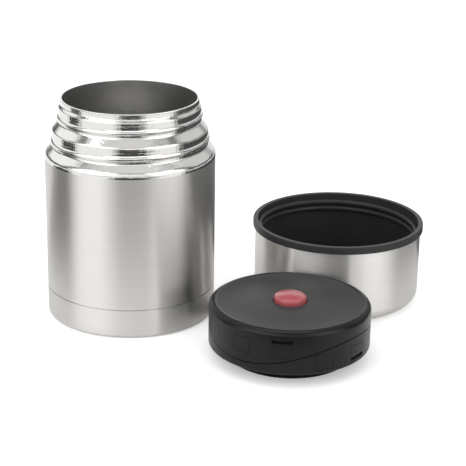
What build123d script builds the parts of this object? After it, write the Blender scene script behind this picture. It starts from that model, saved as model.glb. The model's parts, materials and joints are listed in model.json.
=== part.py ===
from build123d import *
import math
import os

# Insulated food jar with its screw-in stopper and its cup lid standing open beside it.
# Millimetres. The jar's axis is Z and its foot stands on Z = 0, with +X to the right and
# -Y to the front. The stopper and the cup are built about their own axes, then set down.

# Where the lids stand: the stopper seen from the jar and the cup seen from the stopper
STOPPER_BEARING = -35.4
STOPPER_STANDOFF = 19.2
CUP_BEARING = 71.05
CUP_STANDOFF = 0.25

# Jar: outer steel
BODY_RADIUS = 50.0
RIM_HEIGHT = 130.75
OUTER_SHEET = 0.5
BASE_CAP_HEIGHT = 17.1
BASE_CAP_SHEET = 0.5
BASE_GROOVE = 0.5
FOOT_ROUND = 2.0
SHELL_END_HEIGHT = 6.0
PRESS_GAP = 0.05

# Jar: neck outline, as depths below the rim and the widths of its three steps
SHOULDER_WIDTH = 4.5
CUP_STEP_WIDTH = 4.0
LIP_STEP_WIDTH = 1.2
LIP_BAND_DEPTH = 3.1
LIP_STEP_DEPTH = 4.7
STOPPER_ROOT_DEPTH = 13.5
CUP_ROOT_START_DEPTH = 18.0
CUP_ROOT_DEPTH = 27.6
SHOULDER_DEPTH = 31.9
NECK_JOINT_DEPTH = 34.75
NECK_SMALL_ROUND = 1.0
NECK_ROUND = 1.6
SHOULDER_ROUND = 4.0

# Rolled threads of the neck
STOPPER_LEAD = 3.6
STOPPER_THREAD_HEIGHT = 1.0
STOPPER_THREAD_WIDTH = 3.4
STOPPER_THREAD_DEPTH = 12.4
CUP_LEAD = 4.1
CUP_THREAD_HEIGHT = 1.0
CUP_THREAD_WIDTH = 3.8
CUP_THREAD_DEPTH = 26.6
NECK_THREAD_TURNS = 1.08
NECK_THREAD_START = 75.0
THREAD_SINK = 0.2

# Jar: inner steel
LINER_SHEET = 0.5
LIP_HEIGHT = 0.5
LIP_ROUND = 0.2
VACUUM_GAP = 3.4
LINER_FLOOR = 21.5
LINER_CORNER = 12.0
LINER_NECK_DEPTH = 29.8
LINER_FLARE = 7.0
LINER_ROUND = 5.0
WELD_GAP = 0.03

# Jar: vacuum parts between the walls
FOIL_THICKNESS = 0.12
FOIL_GAP = 0.03
FOIL_MARGIN = 3.0
BASE_PLATE_HEIGHT = 12.5
BASE_PLATE_SHEET = 0.6
BASE_PLATE_CORNER = 2.0
POCKET_RADIUS = 6.0
POCKET_RISE = 1.8
POCKET_ROUND = 0.4
EVACUATION_HOLE_RADIUS = 1.2
SEAL_BEAD_THICKNESS = 0.9
GETTER_RADIUS = 4.0
GETTER_THICKNESS = 2.2
GETTER_OFFSET = 18.0
FOOT_BEAD_RADIUS = 31.0
FOOT_BEAD_WIDTH = 3.0
FOOT_BEAD_RISE = 0.6
FOOT_BEAD_ROUND = 0.25

# Stopper: outside
STOPPER_TOP = 32.6
STOPPER_SKIRT_BOTTOM = 7.1
SKIRT_ROUND = 1.8
TOP_EDGE_ROUND = 3.5
TOP_RIM_WIDTH = 1.6
TOP_RIM_DROP = 0.4
DISH_DEPTH = 0.2
COVER_THICKNESS = 2.0
SHELL_WALL = 1.2
SHELL_INNER_ROUND = 0.4
WAVE_HEIGHT = 17.8
WAVE_SWING = 5.85
WAVE_LOW_ANGLE = -127.0
WAVE_SEAM = 0.5
CUT_MARGIN = 4.0

# Stopper: panels and snap windows in its side, all turned about the stopper's axis
PANEL_COUNT = 12
PANEL_FIRST_ANGLE = -96.9
PANEL_WIDTH = 11.4
PANEL_HEIGHT = 9.0
PANEL_CORNER_SEAM = 0.25
PANEL_SEAM_DEPTH = 0.25
UPPER_PANEL_BOTTOM = 17.3
LOWER_PANEL_BOTTOM = 9.8
WINDOW_HEIGHT = 1.9
UPPER_WINDOW_BOTTOM = 25.7
LOWER_WINDOW_BOTTOM = 10.5
TOOTH_REACH = 0.6
TOOTH_CLEARANCE = 0.25
TOOTH_ROOT = 0.5

# Stopper: plug, with the seal flange and the threaded sleeve round it
PLUG_CLEARANCE = 2.77
PLUG_WALL = 1.8
PLUG_ROUND = 4.0
SLEEVE_FLANGE_BOTTOM = 23.7
SLEEVE_FLANGE_THICKNESS = 2.0
SLEEVE_THREAD_CLEARANCE = 0.7
SLEEVE_WALL = 1.1
SLEEVE_TOP_CLEARANCE = 0.5
RING_LEDGE = 1.0
SLEEVE_THREAD_HEIGHT = 1.1
SLEEVE_THREAD_WIDTH = 2.2
SLEEVE_THREAD_INSET = 1.35
SLEEVE_THREAD_TURNS = 0.75
GASKET_THICKNESS = 1.5
GASKET_WIDTH = 5.0
GASKET_GRIP = 0.1
FOAM_GAP = 0.1
FOAM_TOP = 23.5

# Stopper: pressure vent worked by the button
BUTTON_RADIUS = 9.2
BUTTON_GAP = 0.45
BUTTON_PROUD = 3.3
BUTTON_DOME = 1.1
BUTTON_EDGE_ROUND = 1.8
BUTTON_FLANGE_WIDTH = 1.6
BUTTON_FLANGE_THICKNESS = 1.0
BUTTON_TRAVEL = 2.5
BUTTON_BOSS_RADIUS = 4.0
FLANGE_REST_GAP = 0.05
STEM_RADIUS = 1.5
STEM_FIT = 0.02
STEM_HEAD_RADIUS = 3.6
STEM_HEAD_THICKNESS = 1.0
STEM_GRIP = 6.0
VALVE_POCKET_RADIUS = 8.0
VALVE_POCKET_CLEARANCE = 0.9
VALVE_FLOOR = 1.8
VENT_HOLE_RADIUS = 2.6
VALVE_SEAL_RADIUS = 5.4
VALVE_SEAL_THICKNESS = 1.6
SPRING_TUBE_RADIUS = 5.8
SPRING_TUBE_WALL = 1.5
SPRING_TUBE_TOP = 17.5
SPRING_RADIUS = 4.2
SPRING_WIRE = 0.6
SPRING_TURNS = 5.5
WASHER_HEIGHT = 17.4
WASHER_THICKNESS = 0.6
WASHER_RADIUS = 5.0

# Cup lid, standing on its crown with its mouth up
CUP_HEIGHT = 48.9
CUP_STOPPER_CLEARANCE = 3.4
CUP_SHEET = 0.5
CUP_CROWN_ROUND = 7.0
CUP_RIM_HEIGHT = 4.3
CUP_RIM_STEP = 1.5
CUP_RIM_ROUND = 0.6
CUP_LINER_WALL = 1.0
CUP_LINER_FLOOR = 1.0
CUP_LINER_CORNER = 5.0
CUP_PAD_THICKNESS = 1.3
CUP_PAD_MARGIN = 1.0
CUP_INNER_THREAD_HEIGHT = 2.7
CUP_INNER_THREAD_WIDTH = 1.8
CUP_INNER_THREAD_TOP = 10.8
CUP_INNER_THREAD_TURNS = 1.61
CUP_INNER_THREAD_START = -20.0


def turned(*curves):
    """Solid of revolution about Z, from curves drawn as (radius, height) that close a loop."""
    outline = Plane.XZ * make_face([edge for curve in curves for edge in curve.edges()])
    return revolve(outline, Axis.Z)


def ring(outer, inner, bottom, top):
    """Plain ring between two radii and two heights."""
    return turned(Polyline((inner, bottom), (outer, bottom), (outer, top), (inner, top), close=True))


def disc(radius, bottom, top):
    """Plain round plate."""
    return Pos(0, 0, (bottom + top) / 2) * Cylinder(radius, top - bottom)


def thread(wall_radius, height, width, lead, turns, start_height, start_angle):
    """Rounded helical ridge on a wall; a negative height stands it inwards, in a bore."""
    outwards = 1 if height > 0 else -1
    foot = wall_radius - outwards * THREAD_SINK
    path = Helix(pitch=lead, height=lead * turns, radius=foot)
    section = Plane(origin=path @ 0, x_dir=(1, 0, 0), z_dir=path % 0) * make_face(
        [
            Line((0, -width / 2), (0, width / 2)),
            ThreePointArc((0, width / 2), (height + outwards * THREAD_SINK, 0), (0, -width / 2)),
        ]
    )
    return Pos(0, 0, start_height) * Rot(0, 0, start_angle) * sweep(section, path=path, is_frenet=True)


# ---------------------------------------------------------------- jar

cap_inner_radius = BODY_RADIUS - BASE_CAP_SHEET
spigot_radius = cap_inner_radius - PRESS_GAP
body_step_height = BASE_CAP_HEIGHT + BASE_GROOVE
shell_top = RIM_HEIGHT - LIP_HEIGHT
neck_joint_height = RIM_HEIGHT - NECK_JOINT_DEPTH
cup_root_radius = BODY_RADIUS - SHOULDER_WIDTH
stopper_root_radius = cup_root_radius - CUP_STEP_WIDTH
rim_radius = stopper_root_radius - LIP_STEP_WIDTH
mouth_radius = rim_radius - OUTER_SHEET - WELD_GAP - LINER_SHEET
liner_radius = BODY_RADIUS - OUTER_SHEET - VACUUM_GAP - LINER_SHEET
liner_neck_height = RIM_HEIGHT - LINER_NECK_DEPTH
liner_flare_height = liner_neck_height - LINER_FLARE


def make_outer_shell():
    """Straight steel body under the neck, necked in at the foot to enter the base cap."""
    inner_step = body_step_height + OUTER_SHEET
    return turned(
        Polyline(
            (BODY_RADIUS, neck_joint_height),
            (BODY_RADIUS, body_step_height),
            (spigot_radius, body_step_height),
            (spigot_radius, SHELL_END_HEIGHT),
            (spigot_radius - OUTER_SHEET, SHELL_END_HEIGHT),
            (spigot_radius - OUTER_SHEET, inner_step),
            (BODY_RADIUS - OUTER_SHEET, inner_step),
            (BODY_RADIUS - OUTER_SHEET, neck_joint_height),
            close=True,
        )
    )


def make_neck():
    """Rolled steel shoulder and neck with both outside threads, welded onto the straight body."""
    corners = [
        (rim_radius, RIM_HEIGHT - LIP_BAND_DEPTH, NECK_SMALL_ROUND),
        (stopper_root_radius, RIM_HEIGHT - LIP_STEP_DEPTH, NECK_SMALL_ROUND),
        (stopper_root_radius, RIM_HEIGHT - STOPPER_ROOT_DEPTH, NECK_ROUND),
        (cup_root_radius, RIM_HEIGHT - CUP_ROOT_START_DEPTH, NECK_ROUND),
        (cup_root_radius, RIM_HEIGHT - CUP_ROOT_DEPTH, NECK_SMALL_ROUND),
        (BODY_RADIUS, RIM_HEIGHT - SHOULDER_DEPTH, SHOULDER_ROUND),
    ]
    rounds = [corner[2] for corner in corners]

    def wall(sheet):
        path = [(radius - sheet, height) for radius, height, _ in corners]
        top = (rim_radius - sheet, shell_top)
        return FilletPolyline(top, *path, (BODY_RADIUS - sheet, neck_joint_height), radius=rounds)

    top_edge = Line((rim_radius - OUTER_SHEET, shell_top), (rim_radius, shell_top))
    joint = Line((BODY_RADIUS - OUTER_SHEET, neck_joint_height), (BODY_RADIUS, neck_joint_height))
    stopper_thread = thread(
        stopper_root_radius,
        STOPPER_THREAD_HEIGHT,
        STOPPER_THREAD_WIDTH,
        STOPPER_LEAD,
        NECK_THREAD_TURNS,
        RIM_HEIGHT - STOPPER_THREAD_DEPTH,
        NECK_THREAD_START,
    )
    cup_thread = thread(
        cup_root_radius,
        CUP_THREAD_HEIGHT,
        CUP_THREAD_WIDTH,
        CUP_LEAD,
        NECK_THREAD_TURNS,
        RIM_HEIGHT - CUP_THREAD_DEPTH,
        NECK_THREAD_START,
    )
    return turned(wall(0), joint, wall(OUTER_SHEET), top_edge) + stopper_thread + cup_thread


def make_inner_liner():
    """Deep drawn food vessel, welded to the neck under its own turned-out lip."""

    def wall(sheet, top):
        return FilletPolyline(
            (0, LINER_FLOOR - sheet),
            (liner_radius + sheet, LINER_FLOOR - sheet),
            (liner_radius + sheet, liner_flare_height),
            (mouth_radius + sheet, liner_neck_height),
            (mouth_radius + sheet, top),
            radius=[LINER_CORNER + sheet, LINER_ROUND, LINER_ROUND],
        )

    lip = FilletPolyline(
        (mouth_radius + LINER_SHEET, shell_top),
        (rim_radius, shell_top),
        (rim_radius, RIM_HEIGHT),
        (mouth_radius, RIM_HEIGHT),
        (mouth_radius, RIM_HEIGHT - LIP_HEIGHT),
        radius=LIP_ROUND,
    )
    axis_line = Line((0, LINER_FLOOR - LINER_SHEET), (0, LINER_FLOOR))
    return turned(wall(0, RIM_HEIGHT - LIP_HEIGHT), lip, wall(LINER_SHEET, shell_top), axis_line)


def make_reflective_foil():
    """Metal foil wrapped round the liner inside the vacuum."""
    inner = liner_radius + LINER_SHEET + FOIL_GAP
    bottom = LINER_FLOOR + LINER_CORNER + FOIL_MARGIN
    return ring(inner + FOIL_THICKNESS, inner, bottom, liner_flare_height - FOIL_MARGIN)


def make_base_plate():
    """Flanged plate that closes the vacuum, with a raised pocket for the evacuation hole."""
    rim = spigot_radius - OUTER_SHEET - WELD_GAP
    sheet = BASE_PLATE_SHEET

    def path(offset):
        top = BASE_PLATE_HEIGHT - offset
        pocket = POCKET_RADIUS - offset
        return FilletPolyline(
            (EVACUATION_HOLE_RADIUS, top + POCKET_RISE),
            (pocket + sheet, top + POCKET_RISE),
            (pocket + sheet, top),
            (rim - offset, top),
            (rim - offset, SHELL_END_HEIGHT),
            radius=[POCKET_ROUND, POCKET_ROUND, BASE_PLATE_CORNER - offset],
        )

    hole = Line(
        (EVACUATION_HOLE_RADIUS, BASE_PLATE_HEIGHT + POCKET_RISE),
        (EVACUATION_HOLE_RADIUS, BASE_PLATE_HEIGHT + POCKET_RISE - sheet),
    )
    rim_end = Line((rim, SHELL_END_HEIGHT), (rim - sheet, SHELL_END_HEIGHT))
    return turned(path(0), rim_end, path(sheet), hole)


def make_vacuum_seal():
    """Solder glass bead that closes the evacuation hole from below."""
    top = BASE_PLATE_HEIGHT + POCKET_RISE - BASE_PLATE_SHEET
    return disc(POCKET_RADIUS - 2 * BASE_PLATE_SHEET, top - SEAL_BEAD_THICKNESS, top)


def make_getter():
    """Getter pill on the vacuum side of the base plate."""
    pill = disc(GETTER_RADIUS, BASE_PLATE_HEIGHT, BASE_PLATE_HEIGHT + GETTER_THICKNESS)
    return Pos(GETTER_OFFSET, 0, 0) * pill


def make_base_cap():
    """Steel cup over the foot, with a pressed ring in its floor."""
    sheet = BASE_CAP_SHEET
    bead_in = FOOT_BEAD_RADIUS - FOOT_BEAD_WIDTH / 2
    bead_out = FOOT_BEAD_RADIUS + FOOT_BEAD_WIDTH / 2

    def path(offset):
        return FilletPolyline(
            (0, offset),
            (bead_in - offset, offset),
            (bead_in - offset, FOOT_BEAD_RISE + offset),
            (bead_out + offset, FOOT_BEAD_RISE + offset),
            (bead_out + offset, offset),
            (BODY_RADIUS - offset, offset),
            (BODY_RADIUS - offset, BASE_CAP_HEIGHT),
            radius=[FOOT_BEAD_ROUND] * 4 + [FOOT_ROUND - offset],
        )

    top_edge = Line((BODY_RADIUS, BASE_CAP_HEIGHT), (BODY_RADIUS - sheet, BASE_CAP_HEIGHT))
    return turned(path(0), top_edge, path(sheet), Line((0, sheet), (0, 0)))


# ---------------------------------------------------------------- stopper

plug_radius = mouth_radius - PLUG_CLEARANCE
sleeve_bore_radius = stopper_root_radius + STOPPER_THREAD_HEIGHT + SLEEVE_THREAD_CLEARANCE
sleeve_radius = sleeve_bore_radius + SLEEVE_WALL
shell_inner_radius = sleeve_radius + PRESS_GAP
stopper_radius = shell_inner_radius + SHELL_WALL
dish_height = STOPPER_TOP - DISH_DEPTH
cover_underside = dish_height - COVER_THICKNESS
sleeve_top = cover_underside - SLEEVE_TOP_CLEARANCE
sleeve_bottom = STOPPER_SKIRT_BOTTOM + RING_LEDGE + PRESS_GAP
cover_hole_radius = BUTTON_RADIUS + BUTTON_GAP
flange_top = SLEEVE_FLANGE_BOTTOM + SLEEVE_FLANGE_THICKNESS
valve_seat = VALVE_SEAL_THICKNESS + STEM_HEAD_THICKNESS + BUTTON_TRAVEL + VALVE_POCKET_CLEARANCE
spring_seat = valve_seat + VALVE_FLOOR
button_flange_top = cover_underside - FLANGE_REST_GAP
button_flange_bottom = button_flange_top - BUTTON_FLANGE_THICKNESS
washer_top = WASHER_HEIGHT + WASHER_THICKNESS


def wave_block(shift):
    """Everything below the wavy seam: a saddle surface, which waves twice round a cylinder."""
    half = stopper_radius + CUT_MARGIN
    steps = [half * (count / 4 - 1) for count in range(9)]
    rise = WAVE_SWING / stopper_radius**2
    grid = [
        [Vector(x, y, WAVE_HEIGHT + shift - rise * (x * x - y * y)) for y in steps] for x in steps
    ]
    saddle = Face.make_surface_from_array_of_points(grid)
    return Rot(0, 0, WAVE_LOW_ANGLE) * Solid.extrude(saddle, Vector(0, 0, -2 * STOPPER_TOP))


def on_side(angle, width, bottom, height, inner, outer):
    """Curved patch of the stopper's wall: a block as wide as told, cut to two radii."""
    block = Box(outer - inner + CUT_MARGIN, width, height)
    place = Rot(0, 0, angle) * Pos((inner + outer) / 2, 0, bottom + height / 2)
    return (place * block) & ring(outer, inner, bottom, bottom + height)


def panel_seams():
    """Fine seams round the flat panels in the stopper's side, three and three about the wave."""
    seams = []
    for number in range(PANEL_COUNT):
        angle = PANEL_FIRST_ANGLE + number * 360.0 / PANEL_COUNT
        is_upper = math.cos(math.radians(2 * (angle - WAVE_LOW_ANGLE))) > 0
        bottom = UPPER_PANEL_BOTTOM if is_upper else LOWER_PANEL_BOTTOM
        seam = PANEL_CORNER_SEAM
        inner = stopper_radius - PANEL_SEAM_DEPTH
        outer = stopper_radius + CUT_MARGIN
        outside = on_side(angle, PANEL_WIDTH, bottom, PANEL_HEIGHT, inner, outer)
        width = PANEL_WIDTH - 2 * seam
        height = PANEL_HEIGHT - 2 * seam
        inside = on_side(angle, width, bottom + seam, height, inner - CUT_MARGIN, outer + CUT_MARGIN)
        seams.append(outside - inside)
    return seams


def snap_patches(clearance, inner, outer):
    """Places of the four snaps: two through the cover and two through the lower ring."""
    upper = PANEL_FIRST_ANGLE
    lower = PANEL_FIRST_ANGLE + 2 * 360.0 / PANEL_COUNT
    width = PANEL_WIDTH - 2 * clearance
    height = WINDOW_HEIGHT - 2 * clearance
    return [
        on_side(angle, width, bottom + clearance, height, inner, outer)
        for start, bottom in ((upper, UPPER_WINDOW_BOTTOM), (lower, LOWER_WINDOW_BOTTOM))
        for angle in (start, start + 180)
    ]


def make_stopper_cover():
    """Upper shell: dished top with a raised edge, and a side that ends in the wavy seam."""
    edge_radius = stopper_radius - TOP_EDGE_ROUND
    dish_radius = edge_radius - TOP_RIM_WIDTH
    dish_edge = STOPPER_TOP - TOP_RIM_DROP
    side = Polyline((cover_hole_radius, dish_height), (cover_hole_radius, cover_underside))
    inside = FilletPolyline(
        (cover_hole_radius, cover_underside),
        (shell_inner_radius, cover_underside),
        (shell_inner_radius, 0),
        radius=SHELL_INNER_ROUND,
    )
    bottom = Line((shell_inner_radius, 0), (stopper_radius, 0))
    outside = Line((stopper_radius, 0), (stopper_radius, STOPPER_TOP - TOP_EDGE_ROUND))
    slant = TOP_EDGE_ROUND * math.sqrt(0.5)
    top_edge = ThreePointArc(
        (stopper_radius, STOPPER_TOP - TOP_EDGE_ROUND),
        (edge_radius + slant, STOPPER_TOP - TOP_EDGE_ROUND + slant),
        (edge_radius, STOPPER_TOP),
    )
    fall = Spline(
        (edge_radius, STOPPER_TOP),
        (dish_radius, dish_edge),
        (cover_hole_radius, dish_height),
        tangents=[(-1, 0), (-1, 0)],
    )
    cover = turned(side, inside, bottom, outside, top_edge, fall) - wave_block(WAVE_SEAM / 2)
    for cut in panel_seams() + snap_patches(0, sleeve_radius - TOOTH_ROOT, stopper_radius + CUT_MARGIN):
        cover -= cut
    return cover


def make_stopper_ring():
    """Lower shell: side below the wavy seam, with a ledge turned in under the sleeve."""
    ledge_top = STOPPER_SKIRT_BOTTOM + RING_LEDGE
    ledge_radius = sleeve_bore_radius + PRESS_GAP
    outline = Polyline(
        (ledge_radius, ledge_top),
        (shell_inner_radius, ledge_top),
        (shell_inner_radius, STOPPER_TOP),
        (stopper_radius, STOPPER_TOP),
        (stopper_radius, STOPPER_SKIRT_BOTTOM + SKIRT_ROUND),
    )
    slant = SKIRT_ROUND * math.sqrt(0.5)
    round_radius = stopper_radius - SKIRT_ROUND
    lower_edge = ThreePointArc(
        (stopper_radius, STOPPER_SKIRT_BOTTOM + SKIRT_ROUND),
        (round_radius + slant, STOPPER_SKIRT_BOTTOM + SKIRT_ROUND - slant),
        (round_radius, STOPPER_SKIRT_BOTTOM),
    )
    underside = Polyline(
        (round_radius, STOPPER_SKIRT_BOTTOM),
        (ledge_radius, STOPPER_SKIRT_BOTTOM),
        (ledge_radius, ledge_top),
    )
    lower = turned(outline, lower_edge, underside) & wave_block(-WAVE_SEAM / 2)
    for cut in panel_seams() + snap_patches(0, sleeve_radius - TOOTH_ROOT, stopper_radius + CUT_MARGIN):
        lower -= cut
    return lower


def make_stopper_plug():
    """Moulded plug: a deep cup for the foam, with the vent's pocket and tube in its middle."""
    tube_outer = SPRING_TUBE_RADIUS + SPRING_TUBE_WALL
    plug_inner = plug_radius - PLUG_WALL
    pocket_outer = VALVE_POCKET_RADIUS + PLUG_WALL
    vent_wall = Polyline(
        (VENT_HOLE_RADIUS, spring_seat),
        (VENT_HOLE_RADIUS, valve_seat),
        (VALVE_POCKET_RADIUS, valve_seat),
        (VALVE_POCKET_RADIUS, 0),
    )
    plug_foot = FilletPolyline(
        (VALVE_POCKET_RADIUS, 0), (plug_radius, 0), (plug_radius, flange_top), radius=PLUG_ROUND
    )
    inside = Polyline(
        (plug_radius, flange_top),
        (plug_inner, flange_top),
        (plug_inner, PLUG_WALL),
        (pocket_outer, PLUG_WALL),
        (pocket_outer, spring_seat),
        (tube_outer, spring_seat),
        (tube_outer, SPRING_TUBE_TOP),
        (SPRING_TUBE_RADIUS, SPRING_TUBE_TOP),
        (SPRING_TUBE_RADIUS, spring_seat),
        (VENT_HOLE_RADIUS, spring_seat),
    )
    return turned(vent_wall, plug_foot, inside)


def make_seal_flange():
    """Flat ring welded between plug and sleeve, over the gasket."""
    return ring(
        sleeve_bore_radius - PRESS_GAP, plug_radius + PRESS_GAP, SLEEVE_FLANGE_BOTTOM, flange_top
    )


def make_threaded_sleeve():
    """Moulded tube with the thread that grips the neck, and the teeth that hold both shells."""
    sleeve = ring(sleeve_radius, sleeve_bore_radius, sleeve_bottom, sleeve_top)
    sleeve += thread(
        sleeve_bore_radius,
        -SLEEVE_THREAD_HEIGHT,
        SLEEVE_THREAD_WIDTH,
        STOPPER_LEAD,
        SLEEVE_THREAD_TURNS,
        sleeve_bottom + SLEEVE_THREAD_INSET,
        NECK_THREAD_START,
    )
    for tooth in snap_patches(TOOTH_CLEARANCE, sleeve_radius - TOOTH_ROOT, sleeve_radius + TOOTH_REACH):
        sleeve += tooth
    return sleeve


def make_mouth_gasket():
    """Silicone ring in the corner between plug and flange, which the jar's rim presses."""
    inner = plug_radius + GASKET_GRIP
    bottom = SLEEVE_FLANGE_BOTTOM - GASKET_THICKNESS
    return ring(inner + GASKET_WIDTH, inner, bottom, SLEEVE_FLANGE_BOTTOM)


def make_plug_foam():
    """Insulating foam that fills the plug round the vent tube."""
    outer = plug_radius - PLUG_WALL - FOAM_GAP
    low_hole = VALVE_POCKET_RADIUS + PLUG_WALL + FOAM_GAP
    return ring(outer, low_hole, PLUG_WALL, FOAM_TOP)


def make_vent_button():
    """Domed press button with a retaining flange under the cover and a boss on the stem."""
    side_top = dish_height + BUTTON_PROUD
    flange_radius = BUTTON_RADIUS + BUTTON_FLANGE_WIDTH
    socket_radius = STEM_RADIUS + STEM_FIT
    socket_top = washer_top + STEM_GRIP
    dome_radius = BUTTON_RADIUS - BUTTON_EDGE_ROUND
    dome = ThreePointArc((-dome_radius, side_top), (0, side_top + BUTTON_DOME), (dome_radius, side_top))
    half_dome = dome.trim(0.5, 1.0)
    slant = BUTTON_EDGE_ROUND * math.sqrt(0.5)
    edge = ThreePointArc(
        (dome_radius, side_top),
        (dome_radius + slant, side_top - BUTTON_EDGE_ROUND + slant),
        (BUTTON_RADIUS, side_top - BUTTON_EDGE_ROUND),
    )
    body = Polyline(
        (BUTTON_RADIUS, side_top - BUTTON_EDGE_ROUND),
        (BUTTON_RADIUS, button_flange_top),
        (flange_radius, button_flange_top),
        (flange_radius, button_flange_bottom),
        (BUTTON_BOSS_RADIUS, button_flange_bottom),
        (BUTTON_BOSS_RADIUS, washer_top),
        (socket_radius, washer_top),
        (socket_radius, socket_top),
        (0, socket_top),
        (0, side_top + BUTTON_DOME),
    )
    return turned(half_dome, edge, body)


def make_vent_stem():
    """Stem that carries the valve seal on its head and the button on its end."""
    head_top = valve_seat - VALVE_SEAL_THICKNESS
    head = disc(STEM_HEAD_RADIUS, head_top - STEM_HEAD_THICKNESS, head_top)
    end = washer_top + STEM_GRIP - STEM_FIT
    return head + disc(STEM_RADIUS, head_top, end)


def make_valve_seal():
    """Silicone washer on the stem's head, which closes the vent hole from below."""
    inner = STEM_RADIUS + STEM_FIT
    return ring(VALVE_SEAL_RADIUS, inner, valve_seat - VALVE_SEAL_THICKNESS, valve_seat)


def make_spring_washer():
    """Push-on washer on the stem that the spring bears on, under the button's boss."""
    return ring(WASHER_RADIUS, STEM_RADIUS + STEM_FIT, WASHER_HEIGHT, washer_top)


def make_vent_spring():
    """Compression spring between the plug's vent floor and the washer."""
    wire = SPRING_WIRE / 2
    bottom = spring_seat + wire + PRESS_GAP
    length = WASHER_HEIGHT - spring_seat - 2 * (wire + PRESS_GAP)
    path = Helix(pitch=length / SPRING_TURNS, height=length, radius=SPRING_RADIUS)
    section = Plane(origin=path @ 0, z_dir=path % 0) * Circle(wire)
    return Pos(0, 0, bottom) * sweep(section, path=path, is_frenet=True)


# ---------------------------------------------------------------- cup lid

cup_bore = stopper_radius + CUP_STOPPER_CLEARANCE
cup_liner_outer = cup_bore + CUP_LINER_WALL
cup_radius = cup_liner_outer + PRESS_GAP + CUP_SHEET
cup_rim_radius = cup_radius + CUP_RIM_STEP
cup_shell_top = CUP_HEIGHT - CUP_RIM_HEIGHT
cup_pad_top = CUP_SHEET + CUP_PAD_THICKNESS


def make_cup_shell():
    """Drawn steel cup, open at the top under the liner's rim."""

    def path(offset):
        return FilletPolyline(
            (0, offset),
            (cup_radius - offset, offset),
            (cup_radius - offset, cup_shell_top),
            radius=CUP_CROWN_ROUND - offset,
        )

    top_edge = Line((cup_radius, cup_shell_top), (cup_radius - CUP_SHEET, cup_shell_top))
    return turned(path(0), top_edge, path(CUP_SHEET), Line((0, CUP_SHEET), (0, 0)))


def make_cup_liner():
    """Moulded liner: floor, threaded wall, and the rim that covers the steel's edge."""
    floor_top = cup_pad_top + CUP_LINER_FLOOR
    wall_corner = CUP_LINER_CORNER + CUP_LINER_WALL
    outside = FilletPolyline(
        (0, cup_pad_top),
        (cup_liner_outer, cup_pad_top),
        (cup_liner_outer, cup_shell_top),
        radius=wall_corner,
    )
    rim = FilletPolyline(
        (cup_liner_outer, cup_shell_top),
        (cup_rim_radius, cup_shell_top),
        (cup_rim_radius, CUP_HEIGHT),
        (cup_bore, CUP_HEIGHT),
        (cup_bore, cup_shell_top),
        radius=[CUP_RIM_ROUND / 2, CUP_RIM_ROUND, CUP_RIM_ROUND],
    )
    inside = FilletPolyline(
        (cup_bore, cup_shell_top),
        (cup_bore, floor_top),
        (0, floor_top),
        radius=CUP_LINER_CORNER,
    )
    liner = turned(outside, rim, inside, Line((0, floor_top), (0, cup_pad_top)))
    return liner + thread(
        cup_bore,
        -CUP_INNER_THREAD_HEIGHT,
        CUP_INNER_THREAD_WIDTH,
        CUP_LEAD,
        CUP_INNER_THREAD_TURNS,
        CUP_HEIGHT - CUP_INNER_THREAD_TOP,
        CUP_INNER_THREAD_START,
    )


def make_cup_pad():
    """Insulating foam disc between the steel crown and the liner's floor."""
    return disc(cup_radius - CUP_CROWN_ROUND - CUP_PAD_MARGIN, CUP_SHEET, cup_pad_top)


# ---------------------------------------------------------------- set down and write

jar_pieces = {
    "outer_shell": make_outer_shell(),
    "neck": make_neck(),
    "inner_liner": make_inner_liner(),
    "reflective_foil": make_reflective_foil(),
    "vacuum_base_plate": make_base_plate(),
    "vacuum_seal": make_vacuum_seal(),
    "getter": make_getter(),
    "base_cap": make_base_cap(),
}
stopper_pieces = {
    "stopper_cover": make_stopper_cover(),
    "stopper_ring": make_stopper_ring(),
    "stopper_plug": make_stopper_plug(),
    "seal_flange": make_seal_flange(),
    "threaded_sleeve": make_threaded_sleeve(),
    "mouth_gasket": make_mouth_gasket(),
    "plug_foam": make_plug_foam(),
    "vent_button": make_vent_button(),
    "vent_stem": make_vent_stem(),
    "valve_seal": make_valve_seal(),
    "spring_washer": make_spring_washer(),
    "vent_spring": make_vent_spring(),
}
cup_pieces = {
    "cup_shell": make_cup_shell(),
    "cup_liner": make_cup_liner(),
    "cup_pad": make_cup_pad(),
}

jar_place = Pos(0, 0, 0)
stopper_distance = BODY_RADIUS + stopper_radius + STOPPER_STANDOFF
stopper_place = Rot(0, 0, STOPPER_BEARING) * Pos(stopper_distance, 0, 0) * Rot(0, 0, -STOPPER_BEARING)
cup_distance = stopper_radius + cup_rim_radius + CUP_STANDOFF
cup_step = Rot(0, 0, CUP_BEARING) * Pos(cup_distance, 0, 0) * Rot(0, 0, -CUP_BEARING)
cup_place = stopper_place * cup_step

os.makedirs("parts", exist_ok=True)
for pieces, place in ((jar_pieces, jar_place), (stopper_pieces, stopper_place), (cup_pieces, cup_place)):
    for node, solid in pieces.items():
        export_step(place * solid, f"parts/{node}.step")
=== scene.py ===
import json
import math

import bmesh
import bpy
from mathutils import Matrix, Vector


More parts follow.
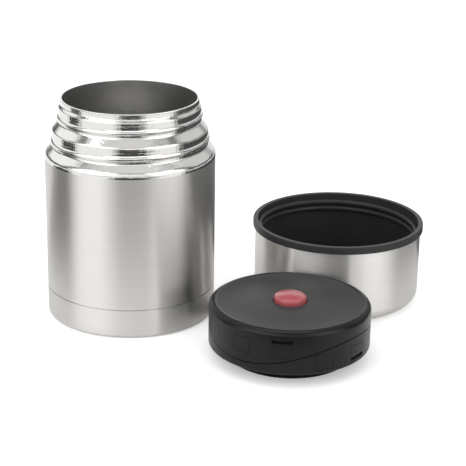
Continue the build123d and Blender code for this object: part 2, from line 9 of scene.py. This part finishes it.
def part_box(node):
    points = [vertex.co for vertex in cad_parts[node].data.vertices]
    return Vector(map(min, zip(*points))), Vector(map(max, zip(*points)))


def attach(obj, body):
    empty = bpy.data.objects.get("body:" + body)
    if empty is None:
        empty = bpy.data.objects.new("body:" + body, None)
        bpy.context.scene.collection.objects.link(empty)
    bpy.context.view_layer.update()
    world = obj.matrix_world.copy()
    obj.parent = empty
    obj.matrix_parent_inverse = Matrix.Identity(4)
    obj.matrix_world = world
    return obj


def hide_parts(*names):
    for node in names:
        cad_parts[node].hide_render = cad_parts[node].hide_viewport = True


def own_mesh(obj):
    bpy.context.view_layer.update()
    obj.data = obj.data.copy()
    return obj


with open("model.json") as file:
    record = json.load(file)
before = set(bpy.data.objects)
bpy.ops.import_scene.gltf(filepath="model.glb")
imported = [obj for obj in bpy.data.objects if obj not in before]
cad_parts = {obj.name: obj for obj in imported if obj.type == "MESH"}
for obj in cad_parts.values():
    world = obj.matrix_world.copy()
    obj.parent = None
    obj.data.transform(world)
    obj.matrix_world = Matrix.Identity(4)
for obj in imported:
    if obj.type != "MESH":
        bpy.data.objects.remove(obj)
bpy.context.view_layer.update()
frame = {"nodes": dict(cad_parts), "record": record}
nodes = frame["nodes"]

# ---------------------------------------------------------------- camera
# A long lens stands in front of the set, above the rims and looking down on them, with the
# jar left of the middle and the two lids set down on its right.

CAMERA_PLACE = (0.060986, -0.834968, 0.350528)
CAMERA_PITCH = 0.347883
CAMERA_ROLL = 0.015856
SENSOR_WIDTH = 36.0
FOCAL_LENGTH = 114.74
NEAREST_SEEN = 0.01
FARTHEST_SEEN = 50.0

lens = bpy.data.cameras.new("table_camera")
lens.sensor_width = SENSOR_WIDTH
lens.lens = FOCAL_LENGTH
lens.clip_start = NEAREST_SEEN
lens.clip_end = FARTHEST_SEEN
camera = bpy.data.objects.new("table_camera", lens)
bpy.context.scene.collection.objects.link(camera)
bpy.context.scene.camera = camera
tilt = Matrix.Rotation(math.pi / 2 - CAMERA_PITCH, 4, "X") @ Matrix.Rotation(CAMERA_ROLL, 4, "Z")
camera.matrix_world = Matrix.Translation(CAMERA_PLACE) @ tilt

# ---------------------------------------------------------------- table and light
# A white table top without an edge in view, in a white studio: two soft boxes at the front left
# and right, dimmer walls between, beside and behind them, and a lit ceiling. The black cloths
# just over the table show in reflections alone.


def socket_named(sockets, key):
    """The socket of a node in use under this name, or the one at this place in the row."""
    if isinstance(key, int):
        return sockets[key]
    return next(socket for socket in sockets if socket.enabled and socket.name == key)


class Signal:
    """What leaves a node's socket. Arithmetic on it adds Math nodes to its own tree."""

    def __init__(self, finish, socket):
        self.finish = finish
        self.socket = socket

    def __getitem__(self, name):
        return Signal(self.finish, socket_named(self.socket.node.outputs, name))

    def math(self, operation, *values):
        settings = {"operation": operation}
        return self.finish.node("ShaderNodeMath", settings, dict(enumerate(values)))

    def __add__(self, other):
        return self.math("ADD", self, other)

    def __radd__(self, other):
        return self.math("ADD", other, self)

    def __rsub__(self, other):
        return self.math("SUBTRACT", other, self)

    def __mul__(self, other):
        return self.math("MULTIPLY", self, other)

    def __rmul__(self, other):
        return self.math("MULTIPLY", other, self)

    def __pow__(self, other):
        return self.math("POWER", self, other)


class Finish:
    """Node tree of one material or of the world."""

    def __init__(self, owner):
        owner.use_nodes = True
        self.owner = owner
        self.tree = owner.node_tree
        self.tree.nodes.clear()

    def node(self, kind, settings=None, values=None):
        """Adds a node, sets it, then fills or links its inputs, and returns its output."""
        made = self.tree.nodes.new(kind)
        for name, value in (settings or {}).items():
            setattr(made, name, value)
        for name, value in (values or {}).items():
            target = socket_named(made.inputs, name)
            if isinstance(value, Signal):
                self.tree.links.new(value.socket, target)
            elif target.type == "RGBA" and len(value) == 3:
                target.default_value = (*value, 1.0)
            else:
                target.default_value = value
        outputs = [socket for socket in made.outputs if socket.enabled]
        return Signal(self, outputs[0]) if outputs else None

    def place(self, scale, shift=(0, 0, 0)):
        """Object coordinates, moved by shift and then stretched by scale."""
        points = self.node("ShaderNodeTexCoord")["Object"]
        moved = self.node("ShaderNodeVectorMath", {"operation": "ADD"}, {0: points, 1: shift})
        return self.node("ShaderNodeVectorMath", {"operation": "MULTIPLY"}, {0: moved, 1: scale})

    def ramp(self, value, start, end, low=0.0, high=1.0):
        """Smooth rise of value from low at start to high at end."""
        return self.node(
            "ShaderNodeMapRange",
            {"interpolation_type": "SMOOTHSTEP"},
            {"Value": value, "From Min": start, "From Max": end, "To Min": low, "To Max": high},
        )

    def noise(self, vector, detail=2.0, roughness=0.5):
        """Soft noise from 0 to 1, with its grain set by the vector's stretch alone."""
        values = {"Vector": vector, "Scale": 1.0, "Detail": detail, "Roughness": roughness}
        return self.node("ShaderNodeTexNoise", None, values)["Fac"]

    def mixed(self, mask, first, second):
        """First colour where the mask is 0, second where it is 1."""
        values = {"Factor": mask, "A": first, "B": second}
        return self.node("ShaderNodeMix", {"data_type": "RGBA"}, values)

    def relief(self, height, depth):
        """Normal of a surface that stands up by depth, in metres, where the height is 1."""
        values = {"Height": height, "Distance": depth, "Strength": 1.0}
        return self.node("ShaderNodeBump", None, values)

    def surface(self, values):
        """Puts one Principled shader with these values on the surface."""
        shader = self.node("ShaderNodeBsdfPrincipled", None, values)
        self.node("ShaderNodeOutputMaterial", None, {"Surface": shader})


def band(value, start, end, soft):
    """1 between start and end, falling smoothly to 0 over soft on each side."""
    rise = value.finish.ramp(value, start - soft, start + soft)
    fall = value.finish.ramp(value, end - soft, end + soft, low=1.0, high=0.0)
    return rise * fall


DEGREES = 180 / math.pi
BOX_LEVEL = 2.1
RIGHT_SIDE_LEVEL = 0.62
FRONT_LEVEL = 0.95
BACK_LEVEL = 1.25
CEILING_LEVEL = 0.72
FILL_LEVEL = 0.10

studio = bpy.data.worlds.new("white_studio")
bpy.context.scene.world = studio
light = Finish(studio)
outward_ray = light.node("ShaderNodeTexCoord")["Generated"]
direction = light.node("ShaderNodeSeparateXYZ", None, {0: outward_ray})
azimuth = direction["X"].math("ARCTAN2", direction["X"], 0.0 - direction["Y"]) * DEGREES
height = direction["Z"].math("ARCSINE", direction["Z"]) * DEGREES
sideways = azimuth.math("ABSOLUTE", azimuth)


def lit_wall(bearing, sides, side_fade, heights, height_fade):
    """1 in the part of the studio between two bearings and two heights, all in degrees."""
    return band(bearing, *sides, side_fade) * band(height, *heights, height_fade)


left_box = lit_wall(azimuth, sides=(-80, -24), side_fade=14, heights=(2, 56), height_fade=5)
right_box = lit_wall(azimuth, sides=(30, 80), side_fade=12, heights=(2, 52), height_fade=5)
side_walls = lit_wall(sideways, sides=(98, 150), side_fade=8, heights=(12, 60), height_fade=5)
side_glow = side_walls * light.ramp(azimuth, start=-10, end=10, low=1.0, high=RIGHT_SIDE_LEVEL)
front_wall = lit_wall(azimuth, sides=(-24, 24), side_fade=8, heights=(3, 46), height_fade=4)
back_wall = light.ramp(sideways, start=146, end=168) * band(height, start=0, end=34, soft=6)
ceiling = light.ramp(height, start=46, end=66, low=0.0, high=CEILING_LEVEL)
boxes = left_box * BOX_LEVEL + right_box * BOX_LEVEL
walls = side_glow + front_wall * FRONT_LEVEL + back_wall * BACK_LEVEL
glow = boxes + walls + ceiling + FILL_LEVEL
is_camera = light.node("ShaderNodeLightPath")["Is Camera Ray"]
strength = glow * (1 - is_camera) + is_camera
backdrop = light.node("ShaderNodeBackground", None, {"Color": (1, 1, 1), "Strength": strength})
light.node("ShaderNodeOutputWorld", None, {"Surface": backdrop})

TABLE_SIZE = 8.0
TABLE_DROP = 0.0002
TABLE_DULL = (0.915, 0.915, 0.915)
TABLE_WHITE = (0.935, 0.935, 0.935)
NO_LIFT = (0, 0, 0)
CAMERA_LIFT = (0.3, 0.3, 0.3)

bpy.ops.mesh.primitive_grid_add(
    x_subdivisions=8, y_subdivisions=8, size=TABLE_SIZE, location=(0, 0, -TABLE_DROP)
)
table_top = bpy.context.object
table_top.name = "table_top"
bpy.ops.object.transform_apply(location=True, rotation=False, scale=False)
table_white = Finish(bpy.data.materials.new("table_white"))
speck = table_white.noise(table_white.place((60, 60, 60)), detail=3.0)
matt = table_white.mixed(speck, TABLE_DULL, TABLE_WHITE)
shade = table_white.node("ShaderNodeBsdfDiffuse", None, {"Color": matt})
seen = table_white.node("ShaderNodeLightPath")["Is Camera Ray"]
glint = table_white.mixed(seen, NO_LIFT, CAMERA_LIFT)
lift = table_white.node("ShaderNodeEmission", None, {"Color": glint, "Strength": 1.0})
lifted = table_white.node("ShaderNodeAddShader", None, {0: shade, 1: lift})
table_white.node("ShaderNodeOutputMaterial", None, {"Surface": lifted})
table_top.data.materials.append(table_white.owner)

overhead = bpy.data.lights.new("overhead_box", "AREA")
overhead.shape = "RECTANGLE"
overhead.size = 0.9
overhead.size_y = 0.6
overhead.energy = 3.0
overhead_box = bpy.data.objects.new("overhead_box", overhead)
bpy.context.scene.collection.objects.link(overhead_box)
overhead_box.location = (0.0, 0.1, 1.3)
bpy.context.scene.view_settings.view_transform = "Standard"

FLAG_HEIGHT = 0.001
FLAG_BLACK = (0.05, 0.05, 0.05)
FLAG_NAP = (0.09, 0.09, 0.09)

flag_cloth = Finish(bpy.data.materials.new("flag_black_cloth"))
nap = flag_cloth.noise(flag_cloth.place((900, 900, 900)))
pile = flag_cloth.mixed(nap, FLAG_BLACK, FLAG_NAP)
cloth = flag_cloth.node("ShaderNodeBsdfDiffuse", None, {"Color": pile})
flag_cloth.node("ShaderNodeOutputMaterial", None, {"Surface": cloth})


def lay_flag(name, left, right, near, far):
    """Black cloth just over the table between these X and Y edges, seen in reflections alone."""
    middle = ((left + right) / 2, (near + far) / 2, FLAG_HEIGHT)
    bpy.ops.mesh.primitive_grid_add(x_subdivisions=2, y_subdivisions=2, size=1.0, location=middle)
    flag = bpy.context.object
    flag.name = name
    flag.scale = (right - left, far - near, 1.0)
    bpy.ops.object.transform_apply(location=True, rotation=False, scale=True)
    flag.visible_camera = False
    flag.visible_diffuse = False
    flag.visible_shadow = False
    flag.data.materials.append(flag_cloth.owner)


lay_flag("front_flag", left=-0.11, right=0.20, near=-0.83, far=-0.17)
lay_flag("left_flag", left=-0.70, right=-0.14, near=-0.08, far=0.12)
lay_flag("right_flag", left=0.26, right=0.80, near=-0.10, far=0.60)
lay_flag("back_flag", left=0.055, right=0.26, near=0.09, far=0.60)
# This sheet between the jar, the stopper and the cup stands for the shaded table there: painted
# shade seen in the steel's reflections alone.
lay_flag("gap_shade_flag", left=0.052, right=0.073, near=-0.035, far=-0.002)

# ---------------------------------------------------------------- outer shell
# The straight body of the jar: one drawn tube of stainless steel, half a millimetre thick,
# brushed round and round, so that every light is drawn out into a tall soft band.

JAR_AXIS = (0.0, 0.0)
STEEL_DULL = (0.655, 0.642, 0.620)
STEEL_BRIGHT = (0.725, 0.711, 0.689)


def round_axis(finish, axis):
    """Coordinates of a point from an upright axis, and its distance from that axis."""
    points = finish.place((1, 1, 1), shift=(-axis[0], -axis[1], 0))
    parts = finish.node("ShaderNodeSeparateXYZ", None, {0: points})
    radius = (parts["X"] * parts["X"] + parts["Y"] * parts["Y"]) ** 0.5
    return parts, radius


def turned_lines(finish, axis, fineness, reach):
    """Fine lines round an axis: level on a wall, and circles on a floor or a crown."""
    parts, radius = round_axis(finish, axis)
    along = (radius + parts["Z"]) * fineness
    stretched = {"X": parts["X"] * reach, "Y": parts["Y"] * reach, "Z": along}
    vector = finish.node("ShaderNodeCombineXYZ", None, stretched)
    return finish.noise(vector, detail=3.0, roughness=0.6)


def between(mask, low, high):
    """Rises from low where the mask is 0 to high where it is 1."""
    return low + (high - low) * mask


def brushed_steel(name, axis, roughness=0.34):
    """Stainless steel brushed round its axis, with hairlines, longer streaks and faint handling."""
    finish = Finish(bpy.data.materials.new(name))
    hairs = turned_lines(finish, axis, fineness=5200, reach=45)
    streaks = turned_lines(finish, axis, fineness=900, reach=14)
    haze = finish.noise(finish.place((28, 28, 28)))
    finish.surface(
        {
            "Base Color": finish.mixed(streaks, STEEL_DULL, STEEL_BRIGHT),
            "Metallic": 1.0,
            "Roughness": roughness + between(hairs, -0.025, 0.025) + between(haze, -0.02, 0.02),
            "Anisotropic": 0.95,
            "Anisotropic Rotation": 0.25,
            "Normal": finish.relief(hairs, depth=0.000012),
        }
    )
    return finish


def dress(node, finish):
    """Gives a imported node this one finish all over."""
    materials = nodes[node].data.materials
    for number in range(len(materials)):
        materials[number] = finish.owner


dress("outer_shell", brushed_steel("body_brushed_steel", JAR_AXIS))

# ---------------------------------------------------------------- neck
# Shoulder, cup thread and stopper thread, rolled into steel and polished like a mirror on a
# lathe, then welded onto the body.

NECK_COLOUR = (0.80, 0.79, 0.77)
DULL_SHARE = 0.94
CHATTER_SHARE = 0.8


def polished_steel(name, axis, roughness, colour, ripple=0.000001):
    """Steel polished on a lathe: hair-thin turning lines, rings and chatter, and soft wipes."""
    finish = Finish(bpy.data.materials.new(name))
    lines = turned_lines(finish, axis, fineness=3400, reach=20)
    rings = turned_lines(finish, axis, fineness=1100, reach=60)
    chatter = turned_lines(finish, axis, fineness=70, reach=620)
    wipes = finish.noise(finish.place((70, 70, 140)), detail=3.0)
    dull = tuple(DULL_SHARE * channel for channel in colour)
    finish.surface(
        {
            "Base Color": finish.mixed(wipes, dull, colour),
            "Metallic": 1.0,
            "Roughness": roughness * (between(lines, 0.35, 0.75) + between(wipes, 0.35, 0.75)),
            "Normal": finish.relief(rings + CHATTER_SHARE * chatter, depth=ripple),
        }
    )
    return finish


mirror_steel = polished_steel(
    "neck_polished_steel", JAR_AXIS, roughness=0.06, colour=NECK_COLOUR, ripple=0.0001
)
dress("neck", mirror_steel)

# ---------------------------------------------------------------- inner liner
# The food vessel: a deep drawn steel cup, electropolished to a satin mirror, whose lip turns
# out over the neck and is welded there.

LINER_COLOUR = (0.76, 0.755, 0.74)
satin_steel = polished_steel(
    "liner_satin_steel", JAR_AXIS, roughness=0.22, colour=LINER_COLOUR, ripple=0.000004
)
dress("inner_liner", satin_steel)

# ---------------------------------------------------------------- vacuum parts
# Between the two walls: crinkled metal foil round the liner, the plate that closes the vacuum,
# its bead of solder glass, and the getter pill that keeps the vacuum.


def crinkled_foil(name):
    """Bright metal foil that was wrapped by hand and is creased all over."""
    finish = Finish(bpy.data.materials.new(name))
    creases = finish.noise(finish.place((240, 240, 150)), detail=4.0, roughness=0.65)
    finish.surface(
        {
            "Base Color": finish.mixed(creases, (0.82, 0.82, 0.81), (0.9, 0.9, 0.89)),
            "Metallic": 1.0,
            "Roughness": between(creases, 0.12, 0.28),
            "Normal": finish.relief(creases, depth=0.0003),
        }
    )
    return finish


def solder_glass(name):
    """Dark greenish glass that was melted in place, with fine bubbles."""
    finish = Finish(bpy.data.materials.new(name))
    bubbles = finish.noise(finish.place((1500, 1500, 1500)))
    finish.surface(
        {
            "Base Color": finish.mixed(bubbles, (0.05, 0.075, 0.07), (0.12, 0.15, 0.14)),
            "Roughness": between(bubbles, 0.06, 0.16),
            "IOR": 1.6,
            "Coat Weight": 0.4,
            "Normal": finish.relief(bubbles, depth=0.00008),
        }
    )
    return finish


def sintered_metal(name):
    """Grey metal powder that was pressed and baked, and is rough all over."""
    finish = Finish(bpy.data.materials.new(name))
    powder = finish.noise(finish.place((5200, 5200, 5200)), detail=3.0)
    finish.surface(
        {
            "Base Color": finish.mixed(powder, (0.16, 0.16, 0.155), (0.3, 0.295, 0.285)),
            "Metallic": 1.0,
            "Roughness": between(powder, 0.55, 0.8),
            "Normal": finish.relief(powder, depth=0.00006),
        }
    )
    return finish


dress("reflective_foil", crinkled_foil("vacuum_foil"))
dress("vacuum_base_plate", brushed_steel("plate_steel", JAR_AXIS, roughness=0.4))
dress("vacuum_seal", solder_glass("solder_glass_bead"))
dress("getter", sintered_metal("getter_powder"))

# ---------------------------------------------------------------- base cap
# A shallow steel cup pressed over the foot, brushed as the body is, with spun circles on its
# underside round the pressed ring.

dress("base_cap", brushed_steel("base_brushed_steel", JAR_AXIS))

# ---------------------------------------------------------------- stopper cover
# Upper half of the stopper's shell: black polypropylene from a spark-eroded mould, smooth at
# the side and with a fine grain in the dish of its top, whose colour is also painted paler than
# the side, a painted sheen of the lit top. It snaps on and ends in the wavy seam.

COVER_DARK = (0.0038, 0.0044, 0.0045)
COVER_PALE = (0.0056, 0.0064, 0.0065)
# Colours of the top's dish: painted paler than the side, a painted sheen of the lit top.
LIT_TOP_PAINTED_DARK = (0.037, 0.037, 0.037)
LIT_TOP_PAINTED_PALE = (0.047, 0.047, 0.0465)
GRAIN_DULLNESS = 0.24
GRAIN_AND_LIT_EDGE = 0.0006
SMOOTH_EDGE = 0.0046
SHELL_ROUGHNESS = 0.28
SHELL_SPECULAR = 0.25


def axis_of(node):
    """Where the axis of a round node stands."""
    low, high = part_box(node)
    return ((low[0] + high[0]) / 2, (low[1] + high[1]) / 2)


def moulded_black(
    name, dark, pale, roughness, specular, grain_size=0.0004, depth=0.000012, grained_and_lit=None
):
    """Black plastic with the mould's grain and flow clouds. The last argument, if given, is an axis
    and the radius round it within which the mould is coarser, so that the plastic is duller, and
    within which the colour is painted paler, a painted sheen of a lit top."""
    finish = Finish(bpy.data.materials.new(name))
    fine = 1 / grain_size
    grain = finish.noise(finish.place((fine, fine, fine)))
    clouds = finish.noise(finish.place((55, 55, 90)), detail=3.0)
    colour = finish.mixed(clouds, dark, pale)
    if grained_and_lit:
        axis, reach = grained_and_lit
        radius = round_axis(finish, axis)[1]
        inside = finish.ramp(radius, reach, reach + GRAIN_AND_LIT_EDGE, low=1.0, high=0.0)
        # Inside this radius the colour is painted paler: a painted sheen of the lit top, over the
        # grain.
        colour = finish.mixed(inside, colour, finish.mixed(grain, LIT_TOP_PAINTED_DARK, LIT_TOP_PAINTED_PALE))
        roughness = roughness + GRAIN_DULLNESS * inside
    finish.surface(
        {
            "Base Color": colour,
            "Roughness": roughness + between(grain, -0.04, 0.04) + between(clouds, -0.04, 0.04),
            "Specular IOR Level": specular,
            "Normal": finish.relief(grain, depth),
        }
    )
    return finish


STOPPER_AXIS = axis_of("stopper_plug")
cover_low, cover_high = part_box("stopper_cover")
dish = (STOPPER_AXIS, (cover_high[0] - cover_low[0]) / 2 - SMOOTH_EDGE)
cover_black_painted_lit_top = moulded_black(
    "cover_satin_black_painted_lit_top", COVER_DARK, COVER_PALE, SHELL_ROUGHNESS, SHELL_SPECULAR, grained_and_lit=dish
)
dress("stopper_cover", cover_black_painted_lit_top)

# ---------------------------------------------------------------- stopper ring
# Lower half of the shell, from the wavy seam down to the skirt, in the same smooth black as
# the side of the cover.

ring_black = moulded_black(
    "ring_satin_black", COVER_DARK, COVER_PALE, SHELL_ROUGHNESS, SHELL_SPECULAR
)
dress("stopper_ring", ring_black)

# ---------------------------------------------------------------- plug, flange and sleeve
# Inner mouldings of the stopper: the plug that reaches into the mouth, the flange over the
# gasket and the threaded sleeve, all unpolished black polypropylene, whose black is painted
# darker than the shell's as painted shade in the window slots and under the skirt.

# Darker than the shell's black: painted shade in the window slots and under the skirt.
SHADED_MOULDING_DARK = (0.002, 0.002, 0.0022)
SHADED_MOULDING_PALE = (0.0035, 0.0035, 0.0037)
shaded_moulding_black = moulded_black(
    "moulding_black_painted_shade",
    SHADED_MOULDING_DARK,
    SHADED_MOULDING_PALE,
    roughness=0.5,
    specular=0.12,
    grain_size=0.0006,
)
for moulding in ("stopper_plug", "seal_flange", "threaded_sleeve"):
    dress(moulding, shaded_moulding_black)

# ---------------------------------------------------------------- gasket and valve seal
# Translucent white silicone, moulded soft: the ring that seals on the jar's lip, and the
# washer that closes the vent.


def silicone(name):
    """Milky rubber that lets a little light in, with a fine bloom of dust."""
    finish = Finish(bpy.data.materials.new(name))
    dust = finish.noise(finish.place((1800, 1800, 1800)), detail=3.0)
    milk = finish.noise(finish.place((120, 120, 120)))
    finish.surface(
        {
            "Base Color": finish.mixed(milk, (0.66, 0.66, 0.63), (0.76, 0.76, 0.73)),
            "Roughness": between(dust, 0.42, 0.54),
            "Subsurface Weight": 0.25,
            "Subsurface Radius": (0.002, 0.002, 0.0018),
            "Subsurface Scale": 0.6,
            "Normal": finish.relief(dust, depth=0.00001),
        }
    )
    return finish


white_silicone = silicone("white_silicone")
for seal in ("mouth_gasket", "valve_seal"):
    dress(seal, white_silicone)

# ---------------------------------------------------------------- foam
# Expanded foam that fills the plug, and the thin disc of it under the cup's liner: white,
# with closed cells about a millimetre wide.


def white_foam(name):
    """White foam whose cells stand up a little and are paler in their middles."""
    finish = Finish(bpy.data.materials.new(name))
    values = {"Vector": finish.place((900, 900, 900)), "Scale": 1.0}
    cells = finish.node("ShaderNodeTexVoronoi", None, values)
    finish.surface(
        {
            "Base Color": finish.mixed(cells, (0.86, 0.85, 0.81), (0.72, 0.71, 0.67)),
            "Roughness": between(cells, 0.75, 0.9),
            "Normal": finish.relief(1 - cells, depth=0.0002),
        }
    )
    return finish


cell_foam = white_foam("cell_foam")
for filling in ("plug_foam", "cup_pad"):
    dress(filling, cell_foam)

# ---------------------------------------------------------------- vent button
# Press button of glossy red plastic, domed for the fingertip. Pushing it lets the vacuum out
# of the jar, so that the stopper turns easily.


def glossy_red(name):
    """Red plastic from a polished mould, with flow in its colour and faint touch marks."""
    finish = Finish(bpy.data.materials.new(name))
    flow = finish.noise(finish.place((160, 160, 260)), detail=3.0)
    touch = finish.noise(finish.place((420, 420, 420)), detail=4.0, roughness=0.6)
    finish.surface(
        {
            "Base Color": finish.mixed(flow, (0.37, 0.072, 0.084), (0.43, 0.094, 0.106)),
            "Roughness": between(touch, 0.14, 0.24),
            "Specular IOR Level": 0.5,
            "Normal": finish.relief(touch, depth=0.000006),
        }
    )
    return finish


dress("vent_button", glossy_red("button_glossy_red"))

# ---------------------------------------------------------------- vent stem, washer and spring
# Turned steel stem with its seal's head, the push-on washer, and the coil of drawn spring wire
# that lifts the button again. The coil stands on the plug.

STEM_COLOUR = (0.58, 0.575, 0.565)
COIL_WIRE = 0.0006
COIL_TURNS = 5.5
STEPS_PER_TURN = 36
WIRE_SIDES = 12
FULL_TURN = 2 * math.pi


def wire_coil(name, node, wire, turns):
    """Round wire wound into a helix, with flat cut ends, that fills the node's box."""
    low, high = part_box(node)
    radius = (high[0] - low[0] - wire) / 2
    climb = high[2] - low[2] - wire
    start = Vector((*axis_of(node), low[2] + wire / 2))
    slope = math.atan2(climb, FULL_TURN * radius * turns)
    steps = round(turns * STEPS_PER_TURN)
    coil = bmesh.new()
    rings = []
    for step in range(steps + 1):
        angle = FULL_TURN * turns * step / steps
        outward = Vector((math.cos(angle), math.sin(angle), 0))
        level = Vector((-math.sin(angle), math.cos(angle), 0))
        ahead = math.cos(slope) * level + Vector((0, 0, math.sin(slope)))
        across = ahead.cross(outward)
        centre = start + Vector((0, 0, climb * step / steps)) + radius * outward
        ring = []
        for side in range(WIRE_SIDES):
            around = FULL_TURN * side / WIRE_SIDES
            spoke = math.cos(around) * outward + math.sin(around) * across
            ring.append(coil.verts.new(centre + wire / 2 * spoke))
        rings.append(ring)
    for first, second in zip(rings, rings[1:]):
        for side in range(WIRE_SIDES):
            after = (side + 1) % WIRE_SIDES
            coil.faces.new((first[side], first[after], second[after], second[side]))
    coil.faces.new(rings[0])
    coil.faces.new(rings[-1])
    bmesh.ops.recalc_face_normals(coil, faces=coil.faces)
    for face in coil.faces:
        face.smooth = len(face.verts) == 4
    mesh = bpy.data.meshes.new(name)
    coil.to_mesh(mesh)
    coil.free()
    made = bpy.data.objects.new(name, mesh)
    bpy.context.scene.collection.objects.link(made)
    return made


def drawn_wire(name):
    """Hard grey spring wire, with faint marks from drawing."""
    finish = Finish(bpy.data.materials.new(name))
    pulls = finish.noise(finish.place((2600, 2600, 700)), detail=3.0)
    finish.surface(
        {
            "Base Color": finish.mixed(pulls, (0.42, 0.42, 0.43), (0.52, 0.52, 0.52)),
            "Metallic": 1.0,
            "Roughness": between(pulls, 0.22, 0.38),
            "Normal": finish.relief(pulls, depth=0.000008),
        }
    )
    return finish


turned_steel = polished_steel(
    "stem_turned_steel", STOPPER_AXIS, roughness=0.25, colour=STEM_COLOUR
)
for pin in ("vent_stem", "spring_washer"):
    dress(pin, turned_steel)

spring = wire_coil("vent_spring_coil", "vent_spring", COIL_WIRE, COIL_TURNS)
spring.data.materials.append(drawn_wire("spring_wire").owner)
joints = {joint["name"]: joint for joint in frame["record"]["behaviour"]["joints"]}
stroke = joints["button_press"]["range_m"][1]
coil_low, coil_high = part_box("vent_spring")
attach(spring, "stopper")
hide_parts("vent_spring")
kept_share = 1 - stroke / (coil_high[2] - coil_low[2])
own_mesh(spring)

# ---------------------------------------------------------------- cup shell
# The drinking cup that covers the stopper: drawn steel, brushed round like the body, standing
# here on its crown.

CUP_AXIS = axis_of("cup_shell")
dress("cup_shell", brushed_steel("cup_brushed_steel", CUP_AXIS))

# ---------------------------------------------------------------- cup liner
# Moulded lining of the cup with its rim over the steel's edge and the thread ridges inside,
# in smooth black polypropylene.

LINER_DARK = (0.027, 0.027, 0.0275)
LINER_PALE = (0.033, 0.033, 0.0335)
smooth_black = moulded_black(
    "cup_smooth_black",
    LINER_DARK,
    LINER_PALE,
    roughness=0.42,
    specular=0.2,
    grain_size=0.0005,
    depth=0.000006,
)
dress("cup_liner", smooth_black)
